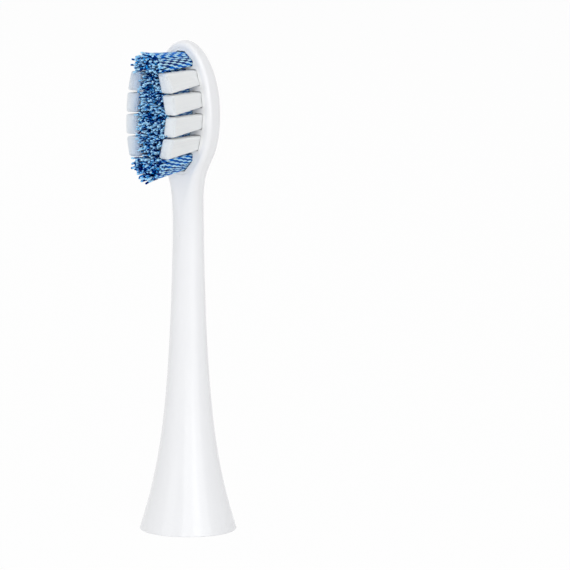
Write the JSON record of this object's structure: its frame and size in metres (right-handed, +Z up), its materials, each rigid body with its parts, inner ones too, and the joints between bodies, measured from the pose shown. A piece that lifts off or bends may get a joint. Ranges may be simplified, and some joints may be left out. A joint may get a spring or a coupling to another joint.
{
  "type": "electric toothbrush head",
  "caption": "Push-on electric toothbrush head: flared hollow skirt, slim neck and oval head with blue and white bristle tufts in a shaped field.",
  "frame": {"origin": "on the axis of the drive socket, in the plane of the skirt's base rim", "axes": "+Z up the neck to the head's tip, bristles point to -Y, +X to the right seen from the bristle side with +Z up"},
  "size_m": [0.0164, 0.0219, 0.0835],
  "materials": {
    "body_plastic": "gloss",
    "plate_plastic": "satin",
    "sleeve_plastic": "satin",
    "spring_steel": "satin",
    "blue_bristle": "satin",
    "white_bristle": "satin"
  },
  "bodies": {
    "root": {"brush_body": "body_plastic", "tuft_plate": "plate_plastic", "drive_sleeve": "sleeve_plastic", "grip_spring": "spring_steel", "top_tuft": "blue_bristle", "bottom_tuft": "blue_bristle", "upper_centre_tuft": "blue_bristle", "centre_tuft_1": "blue_bristle", "centre_tuft_2": "blue_bristle", "centre_tuft_3": "blue_bristle", "lower_centre_tuft": "blue_bristle", "left_tuft_1": "white_bristle", "left_tuft_2": "white_bristle", "left_tuft_3": "white_bristle", "left_tuft_4": "white_bristle", "right_tuft_1": "white_bristle", "right_tuft_2": "white_bristle", "right_tuft_3": "white_bristle", "right_tuft_4": "white_bristle"}
  },
  "joints": []
}
